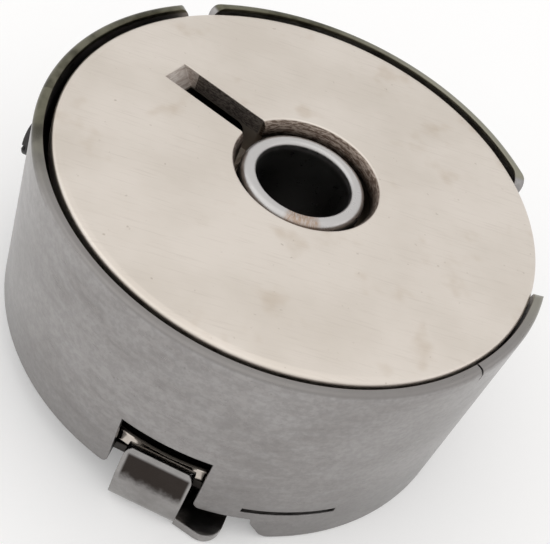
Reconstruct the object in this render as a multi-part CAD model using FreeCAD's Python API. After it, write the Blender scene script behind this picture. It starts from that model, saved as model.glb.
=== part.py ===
import FreeCAD, Part
import math
import os

# Bobbin case with its bobbin, in millimetres.
# The origin is on the axis, where the stud bore opens in the floor's outer face.
# +Z runs along the axis towards the open side. The case stands on the two pads below its floor.
# Latch pieces are drawn with X outwards through the wall's window, then turned to latch_az.
# Names ending in _u, _v and _z are places along that X, across it and along the axis.

# Bobbin
flange_d = 25.0
flange_t = 1.05
flange_bevel_w = 0.42
flange_bevel_h = 0.05
flange_round = 0.05
flange_inner_round = 0.15
bobbin_w = 9.85
core_t = 1.04
core_root_r = 0.50
hole_relief = 0.33
hole_relief_depth = 2.8
hole_mouth_flare = 0.165
hole_mouth_depth = 0.35

# Thread slot in the bobbin's upper flange
slot_w = 1.70
slot_az = 152.2
slot_offset = -0.47
slot_end_from_edge = 3.59
slot_ramp = 0.77
slot_core_depth = 2.4

# Case cup and its hollow post
stud_bore_d = 5.0
post_wall_t = 0.73
post_top_below_rim = 0.50
post_round = 0.10
post_root_r = 0.30
wall_t = 0.43
floor_t = 0.55
rim_round = 0.18
floor_edge_round = 0.15

# Clearances of the bobbin in the case
bobbin_bore_clear = 0.10
bobbin_wall_gap = 0.43
bobbin_lift = 0.10
bobbin_below_rim = 0.10

# Pads below the floor, with the latch channel between them
pad_h = 1.8
pad_right_v = 5.0
pad_left_v = -4.6
pad_left_inset = 1.46
pad_round = 1.25
pad_root_r = 0.35

# Cut-outs in the wall, by the angle of their middle
notch_az = 123.6
notch_w = 1.55
notch_depth = 4.2
notch_mouth_r = 0.55
notch_root_r = 0.35
thread_slot_h = 0.45
thread_slot_deg = 24.0
gate_az = 4.3
gate_w = 8.26
gate_depth = 4.6
gate_mouth_r = 0.5
gate_root_r = 0.90
nick_az = -44.0
nick_w = 0.12
nick_depth = 0.60
slit_az = -73.9
slit_deg = 21.0
slit_h = 0.30

# Window for the lever's claw
latch_az = -102.5
window_left_gap = 0.64
window_right_gap = 0.46
window_over_claw = 1.78
window_inset = 1.21
window_mouth_r = 0.45

# Anti-spin plate on the floor
plate_t = 0.20
plate_post_gap = 1.97
plate_wall_gap = 1.93
tab_side_clear = 0.25
tab_short = 0.25
finger_w = 1.6
finger_gap = 0.35
finger_deg = 70.0

# Latch slide in its channel
slide_t = 0.60
slide_floor_gap = 0.05
slide_lip_gap = 0.07
slide_side_gap = 0.08
slide_back_u = -8.0
slide_front_from_hinge = 4.5
slide_corner_r = 1.0
slide_travel = 2.44
groove_depth = 0.38
groove_end_gap = 0.35
stud_groove_depth = 0.50
keyhole_clear = 0.25
neck_end_from_hinge = 0.95
ear_t = 0.60

# Hinge between the slide and the lever
hinge_from_wall = 2.66
hinge_pin_d = 0.60
hinge_clear = 0.03
eye_r = 0.51
eye_floor_gap = 0.09
cheek_t = 0.60
cheek_gap = 0.10

# Lever, its claw and heel
lever_t = 0.50
lever_pad_gap = 0.10
lever_left_gap = 1.2
lever_right_gap = 1.21
lever_v0 = -2.0
lever_back_inset = 1.96
lever_end_r = 2.4
taper_start_from_hinge = 2.5
taper_end_from_hinge = 1.3
lever_stud_clear = 0.30
lever_front_from_hinge = 0.95
claw_v1 = 1.5
claw_proud = 0.40
claw_bend_r = 0.40
claw_curl_h = 2.00
claw_lean = 0.55
claw_over_flange = 0.25
claw_corner_r = 0.50
heel_start_proud = 0.16
heel_proud = 0.57
heel_corner_r = 0.95

# Latch spring in the slide's slot
spring_from_pad = 1.05
spring_slot_w = 1.10
spring_slot_u0 = 0.20
spring_d = 0.84
spring_wire_d = 0.17
spring_turns = 7
spring_end_gap = 0.06
spring_floor_gap = 0.06
anchor_from_front = 1.2
anchor_len = 0.70
anchor_gap = 0.10

# Tension leaf and its screws on the outside of the wall
leaf_t = 0.28
leaf_gap = 0.02
leaf_h = 3.9
leaf_below_rim = 3.05
leaf_az0 = 131.0
leaf_az1 = 174.5
leaf_corner_r = 0.42
tongue_az0 = 115.0
tongue_h = 2.2
tongue_root_deg = 1.0
adjust_az = 156.0
fixing_az = 170.5
screws_below_leaf_middle = 0.55
adjust_head_d = 2.3
adjust_head_t = 0.50
fixing_head_d = 1.9
fixing_head_t = 0.42
head_round = 0.11
screw_shank_d = 1.0
screw_clear = 0.04
leaf_hole_clear = 0.10
head_seat_gap = 0.05
driver_slot_w = 0.32
driver_slot_depth = 0.25

# Worked-out radii
flange_r = flange_d / 2
wall_in_r = flange_r + bobbin_wall_gap
case_r = wall_in_r + wall_t
stud_bore_r = stud_bore_d / 2
stud_groove_r = stud_bore_r - stud_groove_depth
post_r = stud_bore_r + post_wall_t
bobbin_bore_r = post_r + bobbin_bore_clear
relief_r = bobbin_bore_r + hole_relief
mouth_r = relief_r + hole_mouth_flare
core_r = relief_r + core_t
plate_inner_r = post_r + plate_post_gap
plate_outer_r = wall_in_r - plate_wall_gap
hinge_pin_r = hinge_pin_d / 2
shank_r = screw_shank_d / 2
leaf_in_r = case_r + leaf_gap
leaf_out_r = leaf_in_r + leaf_t

# Worked-out heights
plate_top_z = floor_t + plate_t
bobbin_bottom_z = plate_top_z + bobbin_lift
bobbin_top_z = bobbin_bottom_z + bobbin_w
rim_z = bobbin_top_z + bobbin_below_rim
post_top_z = rim_z - post_top_below_rim
pad_z = -pad_h
slide_top_z = -slide_floor_gap
slide_bottom_z = slide_top_z - slide_t
groove_z = slide_bottom_z - slide_lip_gap
hinge_z = -eye_floor_gap - eye_r
lever_bottom_z = pad_z + lever_pad_gap
lever_top_z = lever_bottom_z + lever_t
claw_top_z = bobbin_bottom_z + flange_t + claw_over_flange
window_top_z = claw_top_z + window_over_claw
leaf_mid_z = rim_z - leaf_below_rim - leaf_h / 2
screw_z = leaf_mid_z - screws_below_leaf_middle

# Worked-out places in the latch frame
hinge_u = case_r - hinge_from_wall
slide_front_u = hinge_u - slide_front_from_hinge
anchor_u0 = slide_front_u - anchor_from_front
slide_v0 = pad_left_v - groove_depth + slide_side_gap
slide_v1 = pad_right_v + groove_depth - slide_side_gap
lever_wide_v0 = pad_left_v + lever_left_gap
lever_v1 = pad_right_v - lever_right_gap
lever_back_u = lever_back_inset - case_r
lever_front_u = hinge_u + lever_front_from_hinge
claw_out_u = case_r + claw_proud
ear_v0 = lever_v0 + cheek_t + cheek_gap
ear_v1 = lever_v1 - cheek_t - cheek_gap
spring_v = pad_left_v + spring_from_pad

# How far cutters reach past the surface they cut, and the shortest edge that counts
over = 1.0
tiny = 1e-6

AXIS = FreeCAD.Vector(0, 0, 1)
CENTRE = FreeCAD.Vector(0, 0, 0)


def vec(x, y, z):
    return FreeCAD.Vector(x, y, z)


def turn(shape, angle):
    """Turn a shape about the case's axis."""
    copy = shape.copy()
    copy.rotate(CENTRE, AXIS, angle)
    return copy


def latch(shape):
    """Bring a shape drawn in the latch frame to its place on the case."""
    return turn(shape, latch_az)


def block(x0, x1, y0, y1, z0, z1):
    return Part.makeBox(x1 - x0, y1 - y0, z1 - z0, vec(x0, y0, z0))


def rod(radius, z0, z1, x=0.0):
    """A cylinder along the axis, or beside it."""
    return Part.makeCylinder(radius, z1 - z0, vec(x, 0, z0))


def radial_rod(radius, r0, r1, z):
    """A cylinder along X, from radius r0 to r1."""
    return Part.makeCylinder(radius, r1 - r0, vec(r0, 0, z), vec(1, 0, 0))


def cross_rod(radius, v0, v1):
    """A cylinder on the hinge's axis."""
    return Part.makeCylinder(radius, v1 - v0, vec(hinge_u, v0, hinge_z), vec(0, 1, 0))


def rounded_face(corners):
    """Flat face through (point, radius) corners, each corner rounded by its own radius."""
    runs = []
    for index, (point, radius) in enumerate(corners):
        back = (corners[index - 1][0] - point).normalize()
        ahead = (corners[(index + 1) % len(corners)][0] - point).normalize()
        if radius == 0:
            runs.append((point, None, point))
            continue
        half = back.getAngle(ahead) / 2
        reach = radius / math.tan(half)
        depth = radius / math.sin(half) - radius
        middle = point + (back + ahead).normalize() * depth
        runs.append((point + back * reach, middle, point + ahead * reach))
    edges = []
    for index, (start, middle, end) in enumerate(runs):
        if middle is not None:
            edges.append(Part.Arc(start, middle, end).toShape())
        following = runs[(index + 1) % len(runs)][0]
        if (following - end).Length > tiny:
            edges.append(Part.LineSegment(end, following).toShape())
    return Part.Face(Part.Wire(edges))


def revolve(profile, sweep=360.0):
    """Revolve an outline of (radius, height, corner radius) about the axis."""
    face = rounded_face([(vec(r, 0, z), corner_r) for r, z, corner_r in profile])
    return face.revolve(CENTRE, AXIS, sweep)


def sector(r0, r1, z0, z1, az0, az1):
    """Part of a ring between two angles."""
    ring = revolve([(r0, z0, 0), (r1, z0, 0), (r1, z1, 0), (r0, z1, 0)], az1 - az0)
    return turn(ring, az0)


def plate(corners, z0, z1):
    """Plate from (u, v, corner radius) corners."""
    face = rounded_face([(vec(u, v, z0), corner_r) for u, v, corner_r in corners])
    return face.extrude(vec(0, 0, z1 - z0))


def wall_notch(left, right, mouth_z, root_z, mouth_round, root_round):
    """Cutter for a notch in the wall at angle 0, with rounded lips at its mouth and rounded roots."""
    past = mouth_z + math.copysign(over, mouth_z - root_z)
    inside = wall_in_r - over
    corners = [
        (left - mouth_round, past, 0),
        (left - mouth_round, mouth_z, 0),
        (left, mouth_z, mouth_round),
        (left, root_z, root_round),
        (right, root_z, root_round),
        (right, mouth_z, mouth_round),
        (right + mouth_round, mouth_z, 0),
        (right + mouth_round, past, 0),
    ]
    face = rounded_face([(vec(inside, v, z), corner_r) for v, z, corner_r in corners])
    return face.extrude(vec(case_r + over - inside, 0, 0))


def cup():
    """Floor, wall and hollow post turned as one piece."""
    return revolve([
        (stud_bore_r, 0, 0),
        (case_r, 0, floor_edge_round),
        (case_r, rim_z, rim_round),
        (wall_in_r, rim_z, rim_round),
        (wall_in_r, floor_t, 0),
        (post_r, floor_t, post_root_r),
        (post_r, post_top_z, post_round),
        (stud_bore_r, post_top_z, post_round),
    ])


def pads():
    """The two pads that the case stands on and the spring's anchor, in the latch frame."""
    reach = case_r + over
    inside_floor = floor_t / 2
    corners = [
        (pad_right_v - pad_root_r, inside_floor, 0),
        (pad_right_v - pad_root_r, 0, 0),
        (pad_right_v, 0, pad_root_r),
        (pad_right_v, pad_z, pad_round),
        (reach, pad_z, 0),
        (reach, inside_floor, 0),
    ]
    right = rounded_face([(vec(-reach, v, z), corner_r) for v, z, corner_r in corners])
    right = right.extrude(vec(2 * reach, 0, 0))
    right = right.common(revolve([
        (0, pad_z, 0),
        (case_r, pad_z, floor_edge_round),
        (case_r, inside_floor, 0),
        (0, inside_floor, 0),
    ]))
    left = block(-reach, reach, -reach, pad_left_v, pad_z, inside_floor)
    left = left.common(rod(case_r - pad_left_inset, pad_z, inside_floor))
    groove = block(slide_back_u - groove_end_gap, slide_front_u + slide_travel + groove_end_gap,
                   pad_left_v - groove_depth, pad_right_v + groove_depth, groove_z, 0)
    anchor_half = spring_slot_w / 2 - anchor_gap
    anchor = block(anchor_u0, anchor_u0 + anchor_len,
                   spring_v - anchor_half, spring_v + anchor_half, slide_bottom_z, inside_floor)
    return right.fuse(left).cut(groove).fuse(anchor)


def case_body():
    body = latch(pads()).fuse(cup()).removeSplitter()
    gate = wall_notch(-gate_w / 2, gate_w / 2, rim_z, rim_z - gate_depth, gate_mouth_r, gate_root_r)
    notch = wall_notch(-notch_w / 2, notch_w / 2, rim_z, rim_z - notch_depth, notch_mouth_r, notch_root_r)
    thread_slot = sector(wall_in_r - over, case_r + over,
                         rim_z - notch_depth, rim_z - notch_depth + thread_slot_h,
                         notch_az, notch_az + thread_slot_deg)
    nick = block(wall_in_r - over, case_r + over, -nick_w / 2, nick_w / 2, rim_z - nick_depth, rim_z + over)
    slit = sector(wall_in_r - wall_t, case_r + over, floor_t, floor_t + slit_h,
                  slit_az - slit_deg / 2, slit_az + slit_deg / 2)
    window = wall_notch(lever_v0 - window_left_gap, claw_v1 + window_right_gap,
                        0, window_top_z, window_mouth_r, 0)
    window = window.common(block(case_r - window_inset, case_r + over, -case_r, case_r, pad_z, window_top_z))
    cutters = [turn(gate, gate_az), turn(notch, notch_az), turn(nick, nick_az), latch(window), thread_slot, slit]
    for az in (adjust_az, fixing_az):
        cutters.append(turn(radial_rod(shank_r + screw_clear, wall_in_r - over, case_r + over, screw_z), az))
    cutters.append(rod(stud_bore_r, pad_z - over, floor_t))
    for cutter in cutters:
        body = body.cut(cutter)
    return body


def bobbin():
    """Spool turned from one bar, with the thread slot cut into its upper flange."""
    top = bobbin_top_z
    bottom = bobbin_bottom_z
    spool = revolve([
        (bobbin_bore_r, bottom + hole_relief_depth, 0),
        (relief_r, bottom + hole_relief_depth, 0),
        (relief_r, bottom + hole_mouth_depth, 0),
        (mouth_r, bottom, 0),
        (flange_r - flange_bevel_w, bottom, flange_round),
        (flange_r, bottom + flange_bevel_h, flange_round),
        (flange_r, bottom + flange_t, flange_inner_round),
        (core_r, bottom + flange_t, core_root_r),
        (core_r, top - flange_t, core_root_r),
        (flange_r, top - flange_t, flange_inner_round),
        (flange_r, top - flange_bevel_h, flange_round),
        (flange_r - flange_bevel_w, top, flange_round),
        (mouth_r, top, 0),
        (relief_r, top - hole_mouth_depth, 0),
        (relief_r, top - hole_relief_depth, 0),
        (bobbin_bore_r, top - hole_relief_depth, 0),
    ])
    slot_end = flange_r - slot_end_from_edge
    slot_bottom = top - slot_core_depth
    side = slot_offset - slot_w / 2
    outline = [
        (0, top + over),
        (slot_end + slot_ramp * over / flange_t, top + over),
        (slot_end - slot_ramp, top - flange_t),
        (slot_end - slot_ramp, slot_bottom),
        (0, slot_bottom),
    ]
    slot = rounded_face([(vec(r, side, z), 0) for r, z in outline]).extrude(vec(0, slot_w, 0))
    return spool.cut(turn(slot, slot_az))


def anti_spin_spring():
    """Thin plate on the floor, with its tab in the wall's slit and two sprung fingers cut in it."""
    spring = sector(plate_inner_r, plate_outer_r, floor_t, plate_top_z, 0, 360)
    half = slit_deg / 2 - math.degrees(tab_side_clear / case_r)
    tab = sector(plate_outer_r - over, case_r - tab_short, floor_t, plate_top_z,
                 slit_az - half, slit_az + half)
    spring = spring.fuse(tab).removeSplitter()
    middle_r = (plate_inner_r + plate_outer_r) / 2
    inner_r = middle_r - finger_w / 2
    outer_r = middle_r + finger_w / 2
    end_deg = math.degrees(finger_gap / middle_r)
    for az in (slit_az + 90, slit_az - 90):
        start = az - finger_deg / 2
        end = az + finger_deg / 2
        for r0, r1, az0 in (
            (inner_r - finger_gap, inner_r, start),
            (outer_r, outer_r + finger_gap, start),
            (inner_r - finger_gap, outer_r, end - end_deg),
        ):
            spring = spring.cut(sector(r0, r1, 0, plate_top_z + over, az0, end))
    return spring


def latch_slide():
    """Plate with a keyhole for the stud, a slot for the spring and two ears for the hinge pin."""
    slide = plate([
        (slide_back_u, slide_v0, slide_corner_r),
        (slide_front_u, slide_v0, slide_corner_r),
        (slide_front_u, slide_v1, slide_corner_r),
        (slide_back_u, slide_v1, slide_corner_r),
    ], slide_bottom_z, slide_top_z)
    neck_u = hinge_u - neck_end_from_hinge
    slide = slide.fuse(block(slide_front_u - over, neck_u, ear_v0, ear_v1, slide_bottom_z, slide_top_z))
    for v0 in (ear_v0, ear_v1 - ear_t):
        v1 = v0 + ear_t
        arm = block(neck_u - over, hinge_u, v0, v1, slide_bottom_z, hinge_z + eye_r)
        slide = slide.fuse([arm, cross_rod(eye_r, v0, v1)])
    slide = slide.removeSplitter()
    low = slide_bottom_z - over
    keyhole = rod(stud_bore_r + keyhole_clear, low, over, -slide_travel)
    keyhole = keyhole.fuse(rod(stud_groove_r, low, over))
    keyhole = keyhole.fuse(block(-slide_travel, 0, -stud_groove_r, stud_groove_r, low, over))
    spring_slot = block(spring_slot_u0, anchor_u0 + anchor_len + anchor_gap,
                        spring_v - spring_slot_w / 2, spring_v + spring_slot_w / 2, low, over)
    pin_hole = cross_rod(hinge_pin_r + hinge_clear, ear_v0 - over, ear_v1 + over)
    for cutter in (keyhole, spring_slot, pin_hole):
        slide = slide.cut(cutter)
    return latch(slide)


def claw():
    """Claw bent up from the lever: a bend, a straight web and a top that curls in over the bobbin."""
    inner_u = claw_out_u - lever_t
    curl_z = claw_top_z - claw_curl_h
    curl = 2 * math.atan2(claw_lean, claw_curl_h)
    outer_r = claw_curl_h / math.sin(curl)
    inner_r = outer_r - lever_t
    centre_u = claw_out_u - outer_r
    corners = [
        (lever_front_u, lever_bottom_z, 0),
        (claw_out_u, lever_bottom_z, claw_bend_r + lever_t),
        (claw_out_u, curl_z + outer_r * math.tan(curl / 2), outer_r),
        (centre_u + outer_r * math.cos(curl), claw_top_z, 0),
        (centre_u + inner_r * math.cos(curl), curl_z + inner_r * math.sin(curl), 0),
        (inner_u, curl_z + inner_r * math.tan(curl / 2), inner_r),
        (inner_u, lever_top_z, claw_bend_r),
        (lever_front_u, lever_top_z, 0),
    ]
    face = rounded_face([(vec(u, lever_v0, z), corner_r) for u, z, corner_r in corners])
    bent = face.extrude(vec(0, claw_v1 - lever_v0, 0))
    front = [
        (lever_v0, lever_bottom_z, 0),
        (claw_v1, lever_bottom_z, 0),
        (claw_v1, claw_top_z, claw_corner_r),
        (lever_v0, claw_top_z, claw_corner_r),
    ]
    outline = rounded_face([(vec(lever_front_u, v, z), corner_r) for v, z, corner_r in front])
    return bent.common(outline.extrude(vec(claw_out_u - lever_front_u, 0, 0)))


def latch_lever():
    """Sheet lever: long handle, hinge cheeks, claw at the window and heel beside it."""
    bottom = lever_bottom_z
    top = lever_top_z
    handle = plate([
        (lever_back_u, lever_wide_v0, lever_end_r),
        (hinge_u - taper_start_from_hinge, lever_wide_v0, 0),
        (hinge_u - taper_end_from_hinge, lever_v0, 0),
        (lever_front_u, lever_v0, 0),
        (lever_front_u, lever_v1, 0),
        (lever_back_u, lever_v1, lever_end_r),
    ], bottom, top)
    heel = plate([
        (lever_front_u, claw_v1, 0),
        (case_r + heel_start_proud, claw_v1, 0),
        (case_r + heel_proud, lever_v1, heel_corner_r),
        (lever_front_u, lever_v1, 0),
    ], bottom, top)
    lever = handle.fuse([heel, claw()])
    for v0 in (lever_v0, lever_v1 - cheek_t):
        v1 = v0 + cheek_t
        cheek = block(hinge_u - eye_r, hinge_u + eye_r, v0, v1, bottom, hinge_z)
        lever = lever.fuse([cheek, cross_rod(eye_r, v0, v1)])
    lever = lever.removeSplitter()
    lever = lever.cut(cross_rod(hinge_pin_r, lever_v0 - over, lever_v1 + over))
    lever = lever.cut(rod(stud_groove_r + lever_stud_clear, bottom - over, top + over))
    return latch(lever)


def lever_hinge_pin():
    return latch(cross_rod(hinge_pin_r, lever_v0, lever_v1))


def latch_spring():
    """Coil spring between the end of the slide's slot and the case's anchor."""
    wire_r = spring_wire_d / 2
    coil_r = (spring_d - spring_wire_d) / 2
    start = spring_slot_u0 + spring_end_gap + wire_r
    length = anchor_u0 - spring_end_gap - wire_r - start
    path = Part.makeHelix(length / spring_turns, length, coil_r)
    profile = Part.Wire(Part.makeCircle(wire_r, vec(coil_r, 0, 0), vec(0, 1, 0)))
    coil = Part.Wire(path).makePipeShell([profile], True, True)
    coil.rotate(CENTRE, vec(0, 1, 0), 90)
    coil.translate(vec(start, spring_v, -spring_floor_gap - spring_d / 2))
    return latch(coil)


def tension_spring():
    """Leaf that follows the wall, with a narrow tongue that presses on the thread at the notch."""
    leaf = sector(leaf_in_r, leaf_out_r, leaf_mid_z - leaf_h / 2, leaf_mid_z + leaf_h / 2, leaf_az0, leaf_az1)
    tongue = sector(leaf_in_r, leaf_out_r, leaf_mid_z - tongue_h / 2, leaf_mid_z + tongue_h / 2,
                    tongue_az0, leaf_az0 + tongue_root_deg)
    leaf = leaf.fuse(tongue).removeSplitter()
    corners = [edge for edge in leaf.Edges if abs(edge.Length - leaf_t) < tiny]
    leaf = leaf.makeFillet(leaf_corner_r, corners)
    for az in (adjust_az, fixing_az):
        hole = radial_rod(shank_r + leaf_hole_clear, leaf_in_r - over, leaf_out_r + over, screw_z)
        leaf = leaf.cut(turn(hole, az))
    return leaf


def slotted_screw(az, head_d, head_t):
    """Cheese-head screw on the leaf, its shank ending flush with the wall's inside."""
    seat_r = leaf_out_r + head_seat_gap
    top_r = seat_r + head_t
    head = radial_rod(head_d / 2, seat_r, top_r, screw_z)
    top_edges = [edge for edge in head.Edges if edge.BoundBox.XMin > top_r - tiny]
    head = head.makeFillet(head_round, top_edges)
    shank_in = math.sqrt(wall_in_r ** 2 - shank_r ** 2)
    screw = head.fuse(radial_rod(shank_r, shank_in, seat_r, screw_z)).removeSplitter()
    slot = block(top_r - driver_slot_depth, top_r + over,
                 -head_d, head_d, screw_z - driver_slot_w / 2, screw_z + driver_slot_w / 2)
    return turn(screw.cut(slot), az)


def tension_screw():
    return slotted_screw(adjust_az, adjust_head_d, adjust_head_t)


def spring_fixing_screw():
    return slotted_screw(fixing_az, fixing_head_d, fixing_head_t)


NODES = {
    "case_body": case_body,
    "bobbin": bobbin,
    "anti_spin_spring": anti_spin_spring,
    "latch_slide": latch_slide,
    "latch_lever": latch_lever,
    "lever_hinge_pin": lever_hinge_pin,
    "latch_spring": latch_spring,
    "tension_spring": tension_spring,
    "tension_screw": tension_screw,
    "spring_fixing_screw": spring_fixing_screw,
}

os.makedirs("parts", exist_ok=True)
for name, make in NODES.items():
    shape = make()
    shape.exportStep("parts/" + name + ".step")
    print(name, "solids", len(shape.Solids), "valid", shape.isValid(), "volume", round(shape.Volume, 3))
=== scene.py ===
import bpy
import bmesh
import math
from mathutils import Matrix, Vector


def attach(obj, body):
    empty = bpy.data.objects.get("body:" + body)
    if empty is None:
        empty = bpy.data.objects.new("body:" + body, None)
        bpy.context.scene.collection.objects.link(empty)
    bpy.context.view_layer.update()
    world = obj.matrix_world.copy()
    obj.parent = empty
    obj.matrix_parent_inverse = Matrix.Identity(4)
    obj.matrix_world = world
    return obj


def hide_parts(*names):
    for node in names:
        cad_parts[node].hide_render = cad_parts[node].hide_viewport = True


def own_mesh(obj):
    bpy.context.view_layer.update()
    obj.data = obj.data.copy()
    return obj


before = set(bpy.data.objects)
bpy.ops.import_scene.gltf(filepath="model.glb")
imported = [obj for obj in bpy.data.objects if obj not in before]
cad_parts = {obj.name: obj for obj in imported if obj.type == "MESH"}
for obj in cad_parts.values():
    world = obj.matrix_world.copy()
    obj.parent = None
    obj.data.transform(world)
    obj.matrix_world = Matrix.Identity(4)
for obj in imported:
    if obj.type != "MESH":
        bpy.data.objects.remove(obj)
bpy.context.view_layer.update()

# Pieces are drawn in millimetres in the part's frame, then scaled to metres
MM = 0.001
SEGMENTS = 240
CRISP_ANGLE = math.radians(32)
# How far cutters and joined shapes stand off a shared face
SKIN = 0.002

# Direction of the latch: u runs along it and v across it
LATCH_AZ = -102.5
LATCH = math.radians(LATCH_AZ)

# Case: post, wall, rim and pads
BORE_R, POST_R, WALL_IN_R, CASE_R = 2.5, 3.29, 12.86, 13.36
PAD_Z, FLOOR_T, POST_TOP, RIM_Z = -1.8, 0.55, 10.3, 10.8
PAD_LEFT_V, PAD_RIGHT_V, PAD_LEFT_R = -4.6, 5.0, 11.9
BASE_ROUND, RIM_OUT_ROUND, RIM_IN_ROUND = 0.15, 0.28, 0.07
POST_FOOT_ROUND, POST_OUT_ROUND, POST_IN_ROUND = 0.3, 0.42, 0.22

# Openings from the rim: angle in degrees, half width, depth and corner radius
GATE_AZ, GATE_HALF, GATE_DEPTH, GATE_ROUND = 4.3, 4.13, 4.6, 0.9
NOTCH_AZ, NOTCH_HALF, NOTCH_DEPTH, NOTCH_ROUND = 123.6, 0.775, 4.2, 0.35
NICK_AZ, NICK_HALF, NICK_DEPTH = -46.0, 0.06, 0.6
MOUTH_ROUND = 0.8

# Other openings in the wall; a slit has its bottom, top, first and last angle
WINDOW_V0, WINDOW_V1, WINDOW_Z0, WINDOW_Z1 = -2.64, 1.96, -0.03, 3.93
WINDOW_ROUND, WINDOW_R = 0.45, 12.15
THREAD_SLIT = (6.6, 7.05, NOTCH_AZ, 147.6)
PLATE_SLIT = (0.55, 0.92, -84.4, -63.4)
SLIT_REACH = 0.43
SCREW_AZ, SCREW_Z, SCREW_HOLE_R = (156.0, 170.5), 5.25, 0.54

# Under the floor: grooves for the slide, anchor for the coil spring
GROOVE_U0, GROOVE_U1, GROOVE_Z = -8.35, 8.99, -0.72
GROOVE_LEFT_V, GROOVE_RIGHT_V, GROOVE_LAP = -4.98, 5.38, 0.2
ANCHOR_U0, ANCHOR_U1, ANCHOR_V0, ANCHOR_V1, ANCHOR_Z0, ANCHOR_Z1 = 5.0, 5.7, -4.0, -3.1, -0.65, 0.3

# Lean of the wall's free end beside the gate: amount at the rim, first angle, span, end in spans
PINCH, PINCH_AZ, PINCH_SPAN, PINCH_END = 0.25, -105, 75, 1.35

# Bobbin, and the slot in its upper flange
FLANGE_R, FLANGE_T, BOBBIN_BOTTOM, BOBBIN_TOP = 12.5, 1.05, 0.85, 10.7
CORE_R, BOBBIN_BORE_R, RELIEF_R, MOUTH_R = 4.70, 3.33, 3.66, 3.86
RELIEF_DEPTH, MOUTH_SLOPE, MOUTH_EDGE = 2.8, 0.35, 0.2
CROWN_IN, CROWN_DROP, CROWN_ROUND = 0.42, 0.05, 0.05
FLANGE_OUT_ROUND, FLANGE_IN_ROUND, CORE_ROUND = 0.22, 0.15, 0.5
SLOT_AZ, SLOT_V, SLOT_HALF, SLOT_DEPTH = 152.2, -0.47, 0.85, 2.4
SLOT_END, SLOT_TOP_END, SLOT_RUN = 8.14, 8.91, 0.77

# Lever: sheet, claw, cheeks, pin hole and stud hole
LEVER_BOTTOM, SHEET_T, LEVER_V0, LEVER_V1 = -1.7, 0.5, -3.4, 3.79
TAIL_U, TAIL_ROUND, NECK_U, HEEL_U, HEEL_ROUND = -11.4, 2.4, 12.6, 13.93, 0.95
CLAW_V0, CLAW_V1, CLAW_U, CLAW_TOP, CLAW_LEAN = -2.0, 1.5, 13.76, 2.05, 0.75
CLAW_FOOT_U, CLAW_FACE_Z, CLAW_STEPS = 12.4, 0.15, 12
CLAW_OUT_ROUND, CLAW_IN_ROUND, CLAW_TIP_ROUND, CLAW_SIDE_ROUND = 0.85, 0.4, 0.12, 0.5
CLAW_THIN, CLAW_TUCK = 0.93, 0.27
CHEEK_U0, CHEEK_U1, CHEEK_Z0, CHEEK_Z1, CHEEK_T, CHEEK_ROUND = 10.19, 11.21, -1.5, -0.09, 0.6, 0.5
PIN_U, PIN_Z, PIN_HOLE_R, STUD_HOLE_R = 10.7, -0.6, 0.3, 2.3

# Coil spring on the slide
COIL_U0, COIL_V, COIL_Z, COIL_RUN = 0.26, -3.55, -0.48, 4.51
COIL_R, WIRE_R, COIL_TURNS, TURN_STEPS, WIRE_SIDES = 0.335, 0.085, 7, 28, 10


# Mesh tools

def rounded(corners, lip=0.0, step=math.radians(9)):
    """Points of an outline through (x, y, radius) corners; lip adds a close point beside each arc."""
    points = []
    for index, (x, y, radius) in enumerate(corners):
        corner = Vector((x, y))
        back = (Vector(corners[index - 1][:2]) - corner).normalized()
        ahead = (Vector(corners[(index + 1) % len(corners)][:2]) - corner).normalized()
        if radius == 0:
            points.append(corner)
            continue
        half = back.angle(ahead) / 2
        reach = radius / math.tan(half)
        centre = corner + (back + ahead).normalized() * (radius / math.sin(half))
        start = corner + back * reach - centre
        end = corner + ahead * reach - centre
        first = math.atan2(start.y, start.x)
        sweep = (math.atan2(end.y, end.x) - first + math.pi) % (2 * math.pi) - math.pi
        count = max(3, math.ceil(abs(sweep) / step))
        if lip:
            points.append(corner + back * (reach + lip))
        for k in range(count + 1):
            angle = first + sweep * k / count
            points.append(centre + Vector((math.cos(angle), math.sin(angle))) * radius)
        if lip:
            points.append(corner + ahead * (reach + lip))
    return points


def mesh_object(name, verts, faces):
    mesh = bpy.data.meshes.new(name)
    mesh.from_pydata([tuple(v) for v in verts], [], faces)
    made = bpy.data.objects.new(name, mesh)
    bpy.context.scene.collection.objects.link(made)
    bm = bmesh.new()
    bm.from_mesh(mesh)
    bmesh.ops.remove_doubles(bm, verts=bm.verts, dist=1e-5)
    bmesh.ops.recalc_face_normals(bm, faces=bm.faces)
    bm.to_mesh(mesh)
    bm.free()
    return made


def turned(name, corners, az0=0.0, az1=360.0, lip=0.03):
    """Outline of (radius, height, corner radius) revolved about Z, all round or between two angles."""
    points = rounded(corners, lip)
    whole = az1 - az0 >= 360
    steps = max(2, round(SEGMENTS * (az1 - az0) / 360))
    rows = steps if whole else steps + 1
    verts = []
    for k in range(rows):
        angle = math.radians(az0 + (az1 - az0) * k / steps)
        for p in points:
            verts.append((p.x * math.cos(angle), p.x * math.sin(angle), p.y))
    n = len(points)
    faces = []
    for k in range(steps):
        a, b = k * n, (k + 1) % rows * n
        for j in range(n):
            m = (j + 1) % n
            faces.append((a + j, b + j, b + m, a + m))
    if not whole:
        faces.append(tuple(range(n)))
        faces.append(tuple(range((rows - 1) * n, rows * n)))
    return mesh_object(name, verts, faces)


def prism(name, corners, low, high, place):
    """Outline pushed from low to high; place turns (x, y, height) into a point."""
    points = rounded(corners)
    n = len(points)
    verts = [place(p.x, p.y, h) for h in (low, high) for p in points]
    faces = [tuple(range(n)), tuple(range(n, 2 * n))]
    faces += [(j, (j + 1) % n, n + (j + 1) % n, n + j) for j in range(n)]
    return mesh_object(name, verts, faces)


def round_axis(angle):
    """Turns a shape drawn at angle 0 to its own angle about Z."""
    return Matrix.Rotation(angle, 3, "Z")


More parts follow.
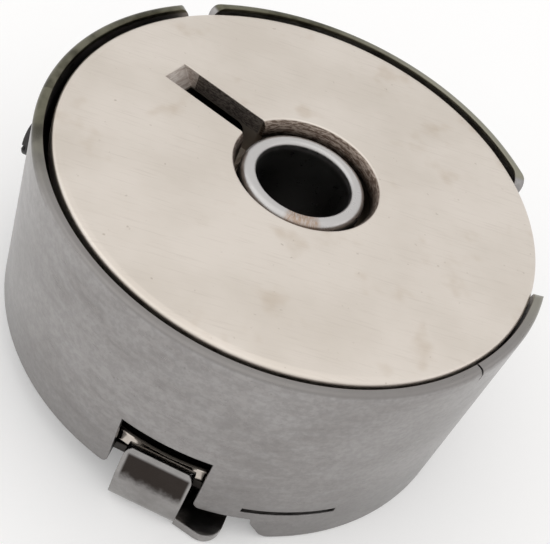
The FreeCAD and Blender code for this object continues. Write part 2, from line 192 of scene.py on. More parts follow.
def radial_cut(corners, low, high, az):
    """Cutter through the wall: outline in (across, height), pushed outwards at angle az in degrees."""
    spin = round_axis(math.radians(az))
    return prism("cutter", corners, low, high, lambda x, y, h: spin @ Vector((h, x, y)))


def notch(left, right, mouth, root, mouth_r, root_r):
    """Outline of an opening from an edge at height mouth to height root, with rounded corners."""
    past = mouth + math.copysign(1.0, mouth - root)
    return [
        (left - mouth_r, past, 0), (left - mouth_r, mouth, 0),
        (left, mouth, mouth_r), (left, root, root_r),
        (right, root, root_r), (right, mouth, mouth_r),
        (right + mouth_r, mouth, 0), (right + mouth_r, past, 0),
    ]


def circle(count):
    """Points round a circle of radius 1."""
    return [(math.cos(k * 2 * math.pi / count), math.sin(k * 2 * math.pi / count)) for k in range(count)]


def box_corners(x0, x1, y0, y1):
    return [(x0, y0, 0), (x1, y0, 0), (x1, y1, 0), (x0, y1, 0)]


def combine(target, tool, operation="DIFFERENCE"):
    """Cut, join or intersect target with tool, then drop tool."""
    step = target.modifiers.new("step", "BOOLEAN")
    step.operation = operation
    step.solver = "EXACT"
    step.object = tool
    graph = bpy.context.evaluated_depsgraph_get()
    made = bpy.data.meshes.new_from_object(target.evaluated_get(graph))
    target.modifiers.remove(step)
    target.data = made
    bpy.data.objects.remove(tool)
    return target


def settle(piece, name, body, node, material):
    """Scale to metres, keep sharp edges crisp, and put the piece on its body in place of a node."""
    piece.name = name
    piece.data.name = name
    piece.data.transform(Matrix.Scale(MM, 4))
    bm = bmesh.new()
    bm.from_mesh(piece.data)
    for face in bm.faces:
        face.smooth = True
    for edge in bm.edges:
        edge.smooth = len(edge.link_faces) == 2 and edge.calc_face_angle(0.0) < CRISP_ANGLE
    bm.to_mesh(piece.data)
    bm.free()
    piece.data.materials.clear()
    piece.data.materials.append(material)
    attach(piece, body)
    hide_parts(node)
    return piece


# Material tools

class Nodes:
    """A material's node tree with short ways to add and join nodes."""

    def __init__(self, name):
        self.material = bpy.data.materials.new(name)
        self.material.use_nodes = True
        self.tree = self.material.node_tree
        self.tree.nodes.clear()
        self.shader = self.add("ShaderNodeBsdfPrincipled")
        self.shader.inputs["Metallic"].default_value = 1.0
        output = self.add("ShaderNodeOutputMaterial")
        self.join(self.shader.outputs[0], output.inputs[0])

    def add(self, kind, **settings):
        node = self.tree.nodes.new(kind)
        for key, value in settings.items():
            setattr(node, key, value)
        return node

    def join(self, a, b):
        self.tree.links.new(a, b)

    def feed(self, socket, value):
        if isinstance(value, bpy.types.NodeSocket):
            self.join(value, socket)
        else:
            socket.default_value = value

    def math(self, operation, a, b=0.0, c=0.0):
        node = self.add("ShaderNodeMath", operation=operation)
        for socket, value in zip(node.inputs, (a, b, c)):
            self.feed(socket, value)
        return node.outputs[0]

    def flat(self):
        """Place in millimetres."""
        coords = self.add("ShaderNodeTexCoord").outputs["Object"]
        scale = self.add("ShaderNodeVectorMath", operation="SCALE")
        self.join(coords, scale.inputs[0])
        scale.inputs["Scale"].default_value = 1 / MM
        return scale.outputs[0]

    def rolled(self, radius):
        """Place unrolled from the axis: way round in mm at this radius, height, distance from the axis."""
        x, y, z = self.axes(self.flat())
        turn = self.math("MULTIPLY", self.math("ARCTAN2", y, x), radius)
        out = self.math("SQRT", self.math("ADD", self.math("MULTIPLY", x, x), self.math("MULTIPLY", y, y)))
        join = self.add("ShaderNodeCombineXYZ")
        for socket, value in zip(join.inputs, (turn, z, out)):
            self.join(value, socket)
        return join.outputs[0]

    def noise(self, vector, stretch, detail=3.0, rough=0.55, seed=0.0, twist=0.0):
        """Noise with this many features per mm along each axis."""
        mapping = self.add("ShaderNodeMapping")
        self.join(vector, mapping.inputs["Vector"])
        mapping.inputs["Scale"].default_value = stretch
        mapping.inputs["Location"].default_value = (seed, seed * 1.7, seed * 2.3)
        mapping.inputs["Rotation"].default_value = (0, 0, twist)
        node = self.add("ShaderNodeTexNoise")
        self.join(mapping.outputs[0], node.inputs["Vector"])
        node.inputs["Scale"].default_value = 1.0
        node.inputs["Detail"].default_value = detail
        node.inputs["Roughness"].default_value = rough
        return node.outputs[0]

    def ramp(self, value, low, high, out_low=0.0, out_high=1.0):
        node = self.add("ShaderNodeMapRange", interpolation_type="SMOOTHSTEP")
        self.join(value, node.inputs["Value"])
        node.inputs["From Min"].default_value = low
        node.inputs["From Max"].default_value = high
        node.inputs["To Min"].default_value = out_low
        node.inputs["To Max"].default_value = out_high
        return node.outputs["Result"]

    def band(self, value, low, high, soft=0.03):
        """1 between low and high, 0 outside."""
        above = self.ramp(value, low - soft, low)
        below = self.ramp(value, high, high + soft, 1, 0)
        return self.math("MULTIPLY", above, below)

    def axes(self, vector):
        split = self.add("ShaderNodeSeparateXYZ")
        self.join(vector, split.inputs[0])
        return list(split.outputs)

    def blend(self, factor, a, b):
        node = self.add("ShaderNodeMix", data_type="RGBA")
        self.feed(node.inputs["Factor"], factor)
        self.feed(node.inputs["A"], a if isinstance(a, bpy.types.NodeSocket) else (*a, 1.0))
        self.feed(node.inputs["B"], b if isinstance(b, bpy.types.NodeSocket) else (*b, 1.0))
        return node.outputs["Result"]

    def finish(self, colour, roughness, height, bump, edge=0.06):
        """Join colour, roughness and a bump over softly rounded edges to the shader."""
        self.feed(self.shader.inputs["Base Color"], colour)
        self.feed(self.shader.inputs["Roughness"], roughness)
        soften = self.add("ShaderNodeBevel", samples=6)
        soften.inputs["Radius"].default_value = edge * MM
        relief = self.add("ShaderNodeBump")
        relief.inputs["Strength"].default_value = bump
        relief.inputs["Distance"].default_value = 0.01 * MM
        self.join(height, relief.inputs["Height"])
        self.join(soften.outputs[0], relief.inputs["Normal"])
        self.join(relief.outputs[0], self.shader.inputs["Normal"])
        return self.material


# Bobbin colours: flange, painted shade in the slot and the hole, ramp at the slot's end, and painted shade
# between the flanges
FLANGE_DULL, FLANGE_BRIGHT = (0.60, 0.543, 0.48), (0.675, 0.617, 0.557)
FLANGE_STAIN, FLANGE_PIT, FLANGE_LINE = (0.43, 0.335, 0.24), (0.29, 0.225, 0.175), (0.41, 0.36, 0.315)
SLOT_SHADE_DULL, SLOT_SHADE_BRIGHT = (0.11, 0.092, 0.08), (0.25, 0.215, 0.19)
HOLE_SHADE_DULL, HOLE_SHADE_BRIGHT, HOLE_DEEP_SHADE = (0.11, 0.078, 0.06), (0.32, 0.265, 0.225), (0.06, 0.05, 0.045)
RAMP_DULL, RAMP_BRIGHT = (0.46, 0.40, 0.36), (0.62, 0.57, 0.53)
CORE_SHADE_LOW, CORE_SHADE_HIGH = (0.04, 0.035, 0.03), (0.30, 0.26, 0.22)


def flange_steel():
    """Warm ground steel with faint stains; painted shade darkens the slot, the hole's brown wall and the
    space between the flanges.
    """
    n = Nodes("flange_steel")
    place = n.flat()
    rolled = n.rolled(FLANGE_R)
    height, out = n.axes(rolled)[1:]
    cloud = n.noise(place, (0.16, 0.16, 0.16), 4.0, seed=3.1)
    grain = n.noise(place, (0.5, 9.0, 4.0), 4.0, 0.6, seed=1.3, twist=0.35)
    pits = n.noise(place, (2.6, 2.6, 2.6), 2.0, seed=8.4)
    stain = n.noise(place, (0.42, 0.42, 0.42), 3.0, seed=5.2)
    lines = n.noise(rolled, (0.9, 12.0, 5.0), 3.0, 0.6, seed=2.2)
    colour = n.blend(n.ramp(cloud, 0.3, 0.7), FLANGE_DULL, FLANGE_BRIGHT)
    colour = n.blend(n.ramp(stain, 0.56, 0.76, 0, 0.34), colour, FLANGE_STAIN)
    colour = n.blend(n.ramp(pits, 0.70, 0.80, 0, 0.5), colour, FLANGE_PIT)
    colour = n.blend(n.ramp(grain, 0.52, 0.78, 0, 0.22), colour, FLANGE_LINE)
    below_top = n.ramp(height, BOBBIN_TOP - 0.07, BOBBIN_TOP - 0.02, 1, 0)
    in_hole = n.math("MULTIPLY", below_top, n.ramp(out, MOUTH_R - 0.05, MOUTH_R + 0.1, 1, 0))
    in_ramp = n.math("MULTIPLY", below_top, n.band(out, SLOT_END - 0.09, SLOT_TOP_END + 0.29))
    between = n.band(height, BOBBIN_BOTTOM + FLANGE_T - 0.06, BOBBIN_TOP - FLANGE_T + 0.06)
    # Painted shade: the slot's inside is painted dark, streaked with machining lines
    in_slot = n.math("MULTIPLY", below_top, n.band(out, MOUTH_R + 0.1, SLOT_END - 0.14))
    lined = n.ramp(lines, 0.4, 0.6)
    colour = n.blend(in_slot, colour, n.blend(lined, SLOT_SHADE_DULL, SLOT_SHADE_BRIGHT))
    # Painted shade: the hole's wall is painted dark brown with machining lines, and near black further down
    colour = n.blend(in_hole, colour, n.blend(n.ramp(lines, 0.4, 0.62), HOLE_SHADE_DULL, HOLE_SHADE_BRIGHT))
    deep_shade = n.math("MULTIPLY", in_hole, n.ramp(height, BOBBIN_TOP - 1.1, BOBBIN_TOP - 0.7, 1, 0))
    colour = n.blend(deep_shade, colour, HOLE_DEEP_SHADE)
    colour = n.blend(in_ramp, colour, n.blend(lined, RAMP_DULL, RAMP_BRIGHT))
    # Painted shade: the core and the flanges' inner faces are painted dark, darkest low down
    colour = n.blend(between, colour, n.blend(n.ramp(height, 2.0, 3.0), CORE_SHADE_LOW, CORE_SHADE_HIGH))
    rough = n.math("ADD", n.ramp(grain, 0.3, 0.7, 0.30, 0.38), n.ramp(cloud, 0.3, 0.7, -0.02, 0.03))
    rough = n.math("ADD", rough, n.math("MULTIPLY", n.math("ADD", in_ramp, in_slot), 0.3))
    outermost = n.ramp(out, FLANGE_R - 0.3, FLANGE_R - 0.1)
    on_edge = n.math("MULTIPLY", n.ramp(height, 1.95, 2.05, 1, 0), outermost)
    rough = n.math("ADD", rough, n.math("MULTIPLY", on_edge, -0.2))
    return n.finish(colour, rough, grain, 0.10, 0.09)


# Case colours: wall, its inside with painted shade, the bore, the post's top with a painted highlight, and
# the rim with painted shade and olive
WALL_DULL, WALL_BRIGHT = (0.285, 0.27, 0.262), (0.355, 0.34, 0.333)
STREAK_BRIGHT, STREAK_DARK = (0.43, 0.42, 0.418), (0.19, 0.178, 0.176)
WALL_MOTTLE, WALL_LOW_SHADE, WALL_PIT = (0.195, 0.184, 0.182), (0.17, 0.162, 0.158), (0.145, 0.128, 0.12)
INSIDE_SHADE, BORE_GREY, POST_TOP_HIGHLIGHT = (0.045, 0.04, 0.036), (0.20, 0.195, 0.19), (0.50, 0.485, 0.475)
RUST, RIM_SHADE_GREY = (0.30, 0.185, 0.11), (0.22, 0.207, 0.198)
OLIVE_DARK, OLIVE_LIGHT, OLIVE_RIGHT_HIGHLIGHT = (0.05, 0.047, 0.031), (0.145, 0.138, 0.10), (0.30, 0.288, 0.235)
RUST_FROM, RUST_TO = -1.75, -1.30


def wall_steel():
    """Grey mottled steel with painted shade low down, inside and on the rim's top, a painted highlight on
    the post's top, and an olive far rim painted lighter to the right as a painted highlight.
    """
    n = Nodes("wall_steel")
    place = n.rolled(CASE_R)
    around, height, out = n.axes(place)
    cloud = n.noise(place, (0.22, 0.30, 0.2), 5.0, 0.62, seed=2.7)
    streak = n.noise(place, (0.55, 1.5, 0.5), 4.0, 0.6, seed=4.4, twist=-0.5)
    mottle = n.noise(place, (3.6, 3.6, 3.6), 3.0, 0.6, seed=1.5)
    grain = n.noise(place, (1.2, 16.0, 3.0), 4.0, 0.6, seed=6.1)
    pits = n.noise(place, (3.0, 3.0, 3.0), 2.0, seed=9.3)
    colour = n.blend(n.ramp(cloud, 0.3, 0.7), WALL_DULL, WALL_BRIGHT)
    colour = n.blend(n.ramp(streak, 0.42, 0.72, 0, 0.40), colour, STREAK_BRIGHT)
    colour = n.blend(n.ramp(streak, 0.28, 0.45, 0.28, 0), colour, STREAK_DARK)
    colour = n.blend(n.ramp(mottle, 0.35, 0.65, 0.30, 0), colour, WALL_MOTTLE)
    # Painted shade: the wall is painted darker towards the base
    colour = n.blend(n.ramp(height, PAD_Z, 4.5, 0.5, 0), colour, WALL_LOW_SHADE)
    colour = n.blend(n.ramp(pits, 0.70, 0.80, 0, 0.35), colour, WALL_PIT)
    # Painted shade: the inside of the cup, the post's sides and the floor are painted dark; the bore keeps
    # a dark grey
    inside = n.math("MULTIPLY", n.ramp(out, WALL_IN_R - 0.05, WALL_IN_R + 0.1, 1, 0),
                    n.band(height, 0.06, POST_TOP - 0.9, 0.6))
    colour = n.blend(inside, colour, INSIDE_SHADE)
    in_bore = n.math("MULTIPLY", inside, n.ramp(out, BORE_R + 0.1, BORE_R + 0.3, 1, 0))
    colour = n.blend(in_bore, colour, BORE_GREY)
    near_post = n.ramp(out, POST_R + 0.05, POST_R + 0.2, 1, 0)
    on_post = n.math("MULTIPLY", near_post, n.ramp(height, POST_TOP - 0.5, POST_TOP - 0.35))
    # Painted highlight: the post's top face is painted lighter than the wall
    colour = n.blend(on_post, colour, POST_TOP_HIGHLIGHT)
    side = n.math("DIVIDE", around, CASE_R)
    rust = n.math("MULTIPLY", on_post, n.band(side, RUST_FROM, RUST_TO, 0.12))
    colour = n.blend(n.math("MULTIPLY", rust, n.ramp(mottle, 0.3, 0.7, 0.3, 0.85)), colour, RUST)
    on_wall = n.ramp(out, WALL_IN_R - 0.5, WALL_IN_R - 0.3)
    rim = n.math("MULTIPLY", n.ramp(height, RIM_Z - 0.16, RIM_Z - 0.05), on_wall)
    # Painted shade: the rim's top is painted a darker grey
    colour = n.blend(n.math("MULTIPLY", rim, 0.85), colour, RIM_SHADE_GREY)
    # The far rim's crown is painted olive, dark to the left and lighter to the right as a painted highlight
    rim_crown = n.math("MULTIPLY", n.ramp(height, RIM_Z - 0.35, RIM_Z - 0.2), on_wall)
    far_rim_olive = n.math("MULTIPLY", rim_crown, n.ramp(n.math("SINE", side), -0.6, -0.12))
    olive = n.blend(n.ramp(streak, 0.35, 0.65), OLIVE_DARK, OLIVE_LIGHT)
    olive = n.blend(n.ramp(n.math("COSINE", side), -0.1, 0.6, 0, 0.8), olive, OLIVE_RIGHT_HIGHLIGHT)
    colour = n.blend(far_rim_olive, colour, olive)
    rough = n.math("ADD", n.ramp(grain, 0.3, 0.7, 0.28, 0.36), n.ramp(streak, 0.3, 0.7, -0.03, 0.05))
    bump = n.math("MULTIPLY", grain, n.ramp(out, POST_R + 0.2, POST_R + 0.4))
    return n.finish(colour, rough, bump, 0.12, 0.08)


# Sheet and screw colours, with a painted dark reflection for the claw's curl
LATCH_DULL, LATCH_BRIGHT = (0.28, 0.268, 0.26), (0.36, 0.348, 0.34)
SPRING_DULL, SPRING_BRIGHT = (0.27, 0.257, 0.247), (0.35, 0.337, 0.325)
PIN_DULL, PIN_BRIGHT = (0.36, 0.352, 0.345), (0.43, 0.423, 0.416)
SCREW_DARK, SCREW_LIGHT = (0.03, 0.03, 0.032), (0.07, 0.066, 0.064)
CLAW_MOTTLE, CLAW_DARK_REFLECTION = (0.19, 0.182, 0.176), (0.022, 0.016, 0.013)


def sheet_steel(name, dark, light, low, high, seed, dark_curl_reflection=False):
    """Steel clouded from dark to light, roughness from low to high; with the flag set, the claw's curl gets
    a painted dark reflection.
    """
    n = Nodes(name)
    place = n.flat()
    cloud = n.noise(place, (0.5, 0.5, 0.5), 4.0, seed=seed)
    grain = n.noise(place, (1.5, 12.0, 12.0), 4.0, 0.6, seed=seed + 2.2, twist=-0.22)
    colour = n.blend(n.ramp(cloud, 0.3, 0.7), dark, light)
    rough = n.ramp(grain, 0.3, 0.7, low, high)
    if dark_curl_reflection:
        x, y, z = n.axes(place)
        mottle = n.noise(place, (2.2, 2.2, 2.2), 3.0, 0.6, seed=seed + 4.1)
        ux, uy = math.cos(LATCH), math.sin(LATCH)
        outwards = n.math("ADD", n.math("MULTIPLY", x, ux), n.math("MULTIPLY", y, uy))
        sideways = n.math("SUBTRACT", n.math("MULTIPLY", y, ux), n.math("MULTIPLY", x, uy))
        ragged = n.math("ADD", z, n.ramp(mottle, 0.3, 0.7, -0.12, 0.12))
        across = n.band(sideways, CLAW_V0 + 0.3, CLAW_V1 - 0.2, 0.15)
        curl = n.math("MULTIPLY", n.ramp(outwards, NECK_U, NECK_U + 0.2), across)
        upper = n.math("MULTIPLY", n.ramp(ragged, 0.25, 0.95), n.ramp(z, 1.72, 1.86, 1, 0))
        curl = n.math("MULTIPLY", curl, upper)
        colour = n.blend(n.ramp(mottle, 0.35, 0.65, 0.25, 0), colour, CLAW_MOTTLE)
        # Painted reflection: the upper part of the claw's curl is painted dark brown
        colour = n.blend(n.math("MULTIPLY", curl, 0.95), colour, CLAW_DARK_REFLECTION)
    return n.finish(colour, rough, grain, 0.08, 0.10)


CASE = wall_steel()
FLANGE = flange_steel()
LATCH_STEEL = sheet_steel("latch_steel", LATCH_DULL, LATCH_BRIGHT, 0.13, 0.22, 1.9)
LEVER_STEEL = sheet_steel("lever_steel", LATCH_DULL, LATCH_BRIGHT, 0.18, 0.26, 1.9, dark_curl_reflection=True)
SPRING_STEEL = sheet_steel("spring_steel", SPRING_DULL, SPRING_BRIGHT, 0.26, 0.36, 5.5)
PIN_STEEL = sheet_steel("pin_steel", PIN_DULL, PIN_BRIGHT, 0.2, 0.28, 7.7)
SCREW_STEEL = sheet_steel("screw_steel", SCREW_DARK, SCREW_LIGHT, 0.28, 0.42, 3.3)


# Pieces

def case_piece():
    """Cup with its post, cut from one turned blank."""
    body = turned("case", [
        (BORE_R, PAD_Z, 0), (CASE_R, PAD_Z, BASE_ROUND),
        (CASE_R, RIM_Z, RIM_OUT_ROUND), (WALL_IN_R, RIM_Z, RIM_IN_ROUND),
        (WALL_IN_R, FLOOR_T, 0), (POST_R, FLOOR_T, POST_FOOT_ROUND),
        (POST_R, POST_TOP, POST_OUT_ROUND), (BORE_R, POST_TOP, POST_IN_ROUND),
    ])
    spin = round_axis(LATCH)

    def along(x, y, h):
        return spin @ Vector((h, x, y))

    def upward(x, y, h):
        return spin @ Vector((x, y, h))

    inner, outer = WALL_IN_R - 1, CASE_R + 1
    window = notch(WINDOW_V0, WINDOW_V1, WINDOW_Z0, WINDOW_Z1, WINDOW_ROUND, 0)
    combine(body, radial_cut(window, WINDOW_R, outer, LATCH_AZ))
    # Channel for the latch between the two pads; its right side slopes
    channel = [
        (PAD_LEFT_V, PAD_Z - 1, 0), (PAD_LEFT_V, 0, 0), (PAD_RIGHT_V - 0.2, 0, 0.1),
        (PAD_RIGHT_V - 0.1, -0.45, 0.3), (PAD_RIGHT_V + 0.75, PAD_Z + 0.12, 0.9),
        (PAD_RIGHT_V + 2.4, PAD_Z, 0), (PAD_RIGHT_V + 2.4, PAD_Z - 1, 0),
    ]
    combine(body, prism("channel", channel, -16, 16, along))
    # The left pad is set back from the wall
    ring = [(PAD_LEFT_R, PAD_Z - 1, 0), (16, PAD_Z - 1, 0), (16, -SKIN, 0), (PAD_LEFT_R, -SKIN, 0)]
    step = turned("step", ring)
    combine(step, prism("half", box_corners(-20, 20, -20, 0.013), -4, 1, upward), "INTERSECT")
    combine(body, step)
    sides = ((GROOVE_LEFT_V, PAD_LEFT_V + GROOVE_LAP), (PAD_RIGHT_V - GROOVE_LAP, GROOVE_RIGHT_V))
    for v0, v1 in sides:
        groove = box_corners(GROOVE_U0, GROOVE_U1, v0, v1)
        combine(body, prism("groove", groove, GROOVE_Z, -SKIN, upward))
    gate = notch(-GATE_HALF, GATE_HALF, RIM_Z, RIM_Z - GATE_DEPTH, MOUTH_ROUND, GATE_ROUND)
    combine(body, radial_cut(gate, inner, outer, GATE_AZ))
    thread = notch(-NOTCH_HALF, NOTCH_HALF, RIM_Z, RIM_Z - NOTCH_DEPTH, MOUTH_ROUND, NOTCH_ROUND)
    combine(body, radial_cut(thread, inner, outer, NOTCH_AZ))
    nick = box_corners(-NICK_HALF, NICK_HALF, RIM_Z - NICK_DEPTH, RIM_Z + 1)
    combine(body, radial_cut(nick, inner, outer, NICK_AZ))
    start = WALL_IN_R - SLIT_REACH
    for low, high, az0, az1 in (THREAD_SLIT, PLATE_SLIT):
        ring = [(start, low, 0), (outer, low, 0), (outer, high, 0), (start, high, 0)]
        combine(body, turned("slit", ring, az0, az1))
    hole = [(SCREW_HOLE_R * x, SCREW_Z + SCREW_HOLE_R * y, 0) for x, y in circle(32)]
    for az in SCREW_AZ:
        combine(body, radial_cut(hole, inner, outer, az))
    anchor = box_corners(ANCHOR_U0, ANCHOR_U1, ANCHOR_V0, ANCHOR_V1)
    combine(body, prism("anchor", anchor, ANCHOR_Z0, ANCHOR_Z1, upward), "UNION")
    for vert in body.data.vertices:
        x, y, z = vert.co
        near_gate = (math.degrees(math.atan2(y, x)) - PINCH_AZ) / PINCH_SPAN
        if z > 0 and math.hypot(x, y) > CORE_R and 0 < near_gate < PINCH_END:
            ease = min(near_gate, 1.0)
            pull = PINCH * z / RIM_Z * ease * ease * (3 - 2 * ease) / math.hypot(x, y)
            vert.co = (x - x * pull, y - y * pull, z)
    return settle(body, "case_cup", "case", "case_body", CASE)


def bobbin_piece():
    """Two flanges and a core turned from one bar, with a slot in the upper flange."""
    low, high = BOBBIN_BOTTOM, BOBBIN_TOP
    spool = turned("bobbin", [
        (BOBBIN_BORE_R, low + RELIEF_DEPTH, 0), (RELIEF_R, low + RELIEF_DEPTH, 0),
        (RELIEF_R, low + MOUTH_SLOPE, 0), (MOUTH_R, low, 0),
        (FLANGE_R - CROWN_IN, low, CROWN_ROUND), (FLANGE_R, low + CROWN_DROP, FLANGE_OUT_ROUND),
        (FLANGE_R, low + FLANGE_T, FLANGE_IN_ROUND), (CORE_R, low + FLANGE_T, CORE_ROUND),
        (CORE_R, high - FLANGE_T, CORE_ROUND), (FLANGE_R, high - FLANGE_T, FLANGE_IN_ROUND),
        (FLANGE_R, high - CROWN_DROP, FLANGE_OUT_ROUND), (FLANGE_R - CROWN_IN, high, CROWN_ROUND),
        (MOUTH_R, high, MOUTH_EDGE), (RELIEF_R, high - MOUTH_SLOPE, 0),
        (RELIEF_R, high - RELIEF_DEPTH, 0), (BOBBIN_BORE_R, high - RELIEF_DEPTH, 0),
    ])
    spin = round_axis(math.radians(SLOT_AZ))

    def across(x, y, h):
        return spin @ Vector((x, h, y))

    # The slot's outer end is a ramp through the flange
    side = [
        (0, high + 1, 0), (SLOT_TOP_END + SLOT_RUN / FLANGE_T, high + 1, 0), (SLOT_END, high - FLANGE_T, 0),
        (SLOT_END, high - SLOT_DEPTH, 0), (0, high - SLOT_DEPTH, 0),
    ]
    combine(spool, prism("slot", side, SLOT_V - SLOT_HALF, SLOT_V + SLOT_HALF, across))
    return settle(spool, "bobbin_spool", "bobbin", "bobbin", FLANGE)


def lever_piece():
    """Sheet lever; its claw curls in and rounds off at the top."""
    spin = round_axis(LATCH)

    def upward(x, y, h):
        return spin @ Vector((x, y, h))

    def across(x, y, h):
        return spin @ Vector((x, h, y))

    bottom, top = LEVER_BOTTOM, LEVER_BOTTOM + SHEET_T
    lever = prism("lever", [
        (TAIL_U, LEVER_V0, TAIL_ROUND), (8.2, LEVER_V0, 0.2), (9.4, CLAW_V0, 0.2),
        (NECK_U, CLAW_V0, 0), (NECK_U, CLAW_V1, 0), (13.52, CLAW_V1, 0),
        (HEEL_U, LEVER_V1, HEEL_ROUND), (TAIL_U, LEVER_V1, TAIL_ROUND),
    ], bottom, top, upward)
    rise = [k / CLAW_STEPS for k in range(CLAW_STEPS + 1)]
    face = [(CLAW_U - CLAW_LEAN * t ** 2, CLAW_FACE_Z + (CLAW_TOP - CLAW_FACE_Z) * t) for t in rise]
    outline = [(CLAW_FOOT_U, bottom + SKIN, 0), (CLAW_U, bottom + SKIN, CLAW_OUT_ROUND)]
    outline += [(u, z, CLAW_TIP_ROUND if z == CLAW_TOP else 0) for u, z in face]
    for t, (u, z) in zip(reversed(rise), reversed(face)):
        outline.append((u - SHEET_T * CLAW_THIN, z - CLAW_TUCK * t ** 2, 0))
    outline += [(CLAW_U - SHEET_T, top - SKIN, CLAW_IN_ROUND), (CLAW_FOOT_U, top - SKIN, 0)]
    claw = prism("claw", outline, CLAW_V0 + SKIN, CLAW_V1 + SKIN, across)
    front = [
        (CLAW_V0, -3, 0), (CLAW_V1 + 0.1, -3, 0),
        (CLAW_V1, CLAW_TOP + SKIN, CLAW_SIDE_ROUND), (CLAW_V0, CLAW_TOP + SKIN, CLAW_SIDE_ROUND),
    ]
    combine(claw, radial_cut(front, 12, 15, LATCH_AZ), "INTERSECT")
    combine(lever, claw, "UNION")
    cheek = [
        (CHEEK_U0, CHEEK_Z0, 0), (CHEEK_U1, CHEEK_Z0, 0),
        (CHEEK_U1, CHEEK_Z1, CHEEK_ROUND), (CHEEK_U0, CHEEK_Z1, CHEEK_ROUND),
    ]
    for v0 in (CLAW_V0 + SKIN, LEVER_V1 - CHEEK_T - SKIN):
        combine(lever, prism("cheek", cheek, v0, v0 + CHEEK_T, across), "UNION")
    pin = [(PIN_U + PIN_HOLE_R * x, PIN_Z + PIN_HOLE_R * y, 0) for x, y in circle(48)]
    combine(lever, prism("pin", pin, -3, 5, across))
    stud = [(STUD_HOLE_R * x, STUD_HOLE_R * y, 0) for x, y in circle(48)]
    combine(lever, prism("stud", stud, -3, 0, upward))
    return settle(lever, "lever_sheet", "lever", "latch_lever", LEVER_STEEL)


def coil_piece():
    """Coil spring along the slide towards the case's anchor, drawn at one fixed length; the real one is
    pressed as the slide comes out.
    """
    spin = round_axis(LATCH)
    steps, sides = COIL_TURNS * TURN_STEPS, WIRE_SIDES
    verts = []
    for k in range(steps + 1):
        turn = 2 * math.pi * COIL_TURNS * k / steps
        outwards = Vector((0, math.sin(turn), -math.cos(turn)))
        centre = Vector((COIL_U0 + WIRE_R + COIL_RUN * k / steps, COIL_V, COIL_Z)) + outwards * COIL_R
        for j in range(sides):
            angle = 2 * math.pi * j / sides
            ring = outwards * math.cos(angle) + Vector((1, 0, 0)) * math.sin(angle)
            verts.append(spin @ (centre + ring * WIRE_R))
    faces = [tuple(range(sides)), tuple(range(steps * sides, (steps + 1) * sides))]
    for k in range(steps):
        for j in range(sides):
            a, b = k * sides + j, k * sides + (j + 1) % sides
            faces.append((a, b, b + sides, a + sides))
    coil = mesh_object("coil", verts, faces)
    settle(coil, "latch_coil", "case", "latch_spring", SPRING_STEEL)
    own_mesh(coil)


case_piece()
bobbin_piece()
lever_piece()
coil_piece()
for node, material in {
    "anti_spin_spring": SPRING_STEEL, "latch_slide": LATCH_STEEL, "lever_hinge_pin": PIN_STEEL,
    "tension_spring": SPRING_STEEL, "tension_screw": SCREW_STEEL, "spring_fixing_screw": SCREW_STEEL,
}.items():
    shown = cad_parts[node]
    shown.data.materials.clear()
    shown.data.materials.append(material)


# Floor, lights and camera

def shown_rays(tree):
    """1 for the rays that show the background: camera, glossy and transmission rays."""
    path = tree.nodes.new("ShaderNodeLightPath")
    total = path.outputs["Is Camera Ray"]
    for ray in ("Is Glossy Ray", "Is Transmission Ray"):
        most = tree.nodes.new("ShaderNodeMath")
        most.operation = "MAXIMUM"
        tree.links.new(total, most.inputs[0])
        tree.links.new(path.outputs[ray], most.inputs[1])
        total = most.outputs[0]
    return total


# Half side, colour, and the white added to what is seen of the floor, near the object and further out
FLOOR_SIDE = 0.30
FLOOR_COLOUR = (0.80, 0.797, 0.794, 1)
FLOOR_NEAR_FAR = (0.03, 0.18)
FLOOR_LIFT = (0.20, 0.30)
WHITE = (1, 1, 1, 1)


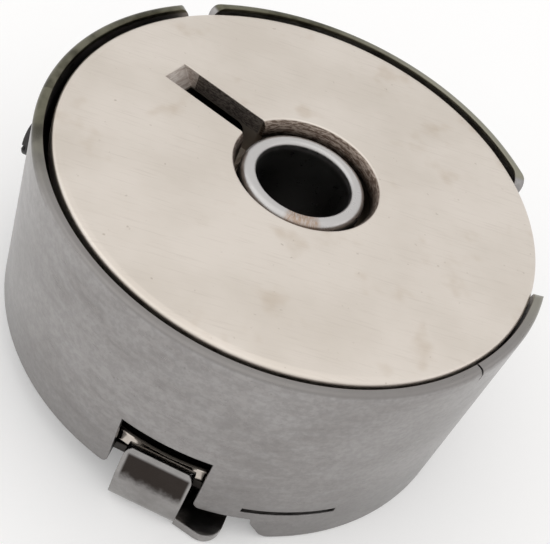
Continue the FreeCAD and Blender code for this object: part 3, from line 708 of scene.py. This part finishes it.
def floor():
    """Pale floor under the pads; it keeps the object's shadow and is white where nothing shades it."""
    mesh = bpy.data.meshes.new("floor")
    side, z = FLOOR_SIDE, PAD_Z * MM
    corners = [(-side, -side, z), (side, -side, z), (side, side, z), (-side, side, z)]
    mesh.from_pydata(corners, [], [(0, 1, 2, 3)])
    made = bpy.data.objects.new("floor", mesh)
    bpy.context.scene.collection.objects.link(made)
    material = bpy.data.materials.new("pale_floor")
    material.use_nodes = True
    tree = material.node_tree
    tree.nodes.clear()
    pale = tree.nodes.new("ShaderNodeBsdfDiffuse")
    pale.inputs["Color"].default_value = FLOOR_COLOUR
    glow = tree.nodes.new("ShaderNodeEmission")
    glow.inputs["Color"].default_value = WHITE
    lift = tree.nodes.new("ShaderNodeMath")
    lift.operation = "MULTIPLY"
    distance = tree.nodes.new("ShaderNodeVectorMath")
    distance.operation = "LENGTH"
    tree.links.new(tree.nodes.new("ShaderNodeTexCoord").outputs["Object"], distance.inputs[0])
    rise = tree.nodes.new("ShaderNodeMapRange")
    for name, value in zip(("From Min", "From Max", "To Min", "To Max"), FLOOR_NEAR_FAR + FLOOR_LIFT):
        rise.inputs[name].default_value = value
    tree.links.new(distance.outputs["Value"], rise.inputs["Value"])
    tree.links.new(rise.outputs["Result"], lift.inputs[1])
    tree.links.new(shown_rays(tree), lift.inputs[0])
    tree.links.new(lift.outputs[0], glow.inputs["Strength"])
    both = tree.nodes.new("ShaderNodeAddShader")
    output = tree.nodes.new("ShaderNodeOutputMaterial")
    tree.links.new(pale.outputs[0], both.inputs[0])
    tree.links.new(glow.outputs[0], both.inputs[1])
    tree.links.new(both.outputs[0], output.inputs[0])
    mesh.materials.append(material)


def softbox(name, place, aim, width, height, power, colour=(1, 1, 1)):
    """Soft lamp; place, aim and size in millimetres, power in watts."""
    light = bpy.data.lights.new(name, "AREA")
    light.shape = "RECTANGLE"
    light.size, light.size_y = width * MM, height * MM
    light.energy = power
    light.color = colour
    made = bpy.data.objects.new(name, light)
    made.location = Vector(place) * MM
    made.rotation_euler = (Vector(aim) - Vector(place)).to_track_quat("-Z", "Y").to_euler()
    bpy.context.scene.collection.objects.link(made)


floor()
softbox("overhead", (-15, -12, 140), (0, -10, 0), 160, 150, 0.022, (1.0, 0.985, 0.965))
softbox("left", (-90, 5, 70), (-10, 0, 0), 116, 116, 0.012, (0.96, 0.98, 1.0))
softbox("right", (90, 0, 70), (10, 0, 0), 56, 56, 0.003)

# Even light all round; what the camera and the metal see of it is white
WORLD_LIGHT = (0.88, 0.875, 0.87, 1)
world = bpy.data.worlds.new("studio")
bpy.context.scene.world = world
world.use_nodes = True
tree = world.node_tree
seen = tree.nodes.new("ShaderNodeMix")
seen.data_type = "RGBA"
seen.inputs["A"].default_value = WORLD_LIGHT
seen.inputs["B"].default_value = WHITE
tree.links.new(shown_rays(tree), seen.inputs["Factor"])
tree.links.new(seen.outputs["Result"], tree.nodes["Background"].inputs["Color"])

# Camera at the photograph's viewing angle
CAMERA_AT = Vector((-7.684, -37.289, 41.761))
CAMERA_TURN = (41.756, -17.955, 6.352)
camera_data = bpy.data.cameras.new("camera")
camera_data.sensor_width = 36.0
camera_data.lens = 64.75
camera_data.clip_start = 0.002
camera_data.clip_end = 10.0
camera = bpy.data.objects.new("camera", camera_data)
camera.location = CAMERA_AT * MM
camera.rotation_euler = [math.radians(angle) for angle in CAMERA_TURN]
bpy.context.scene.collection.objects.link(camera)
bpy.context.scene.camera = camera
bpy.context.scene.view_settings.view_transform = "Standard"
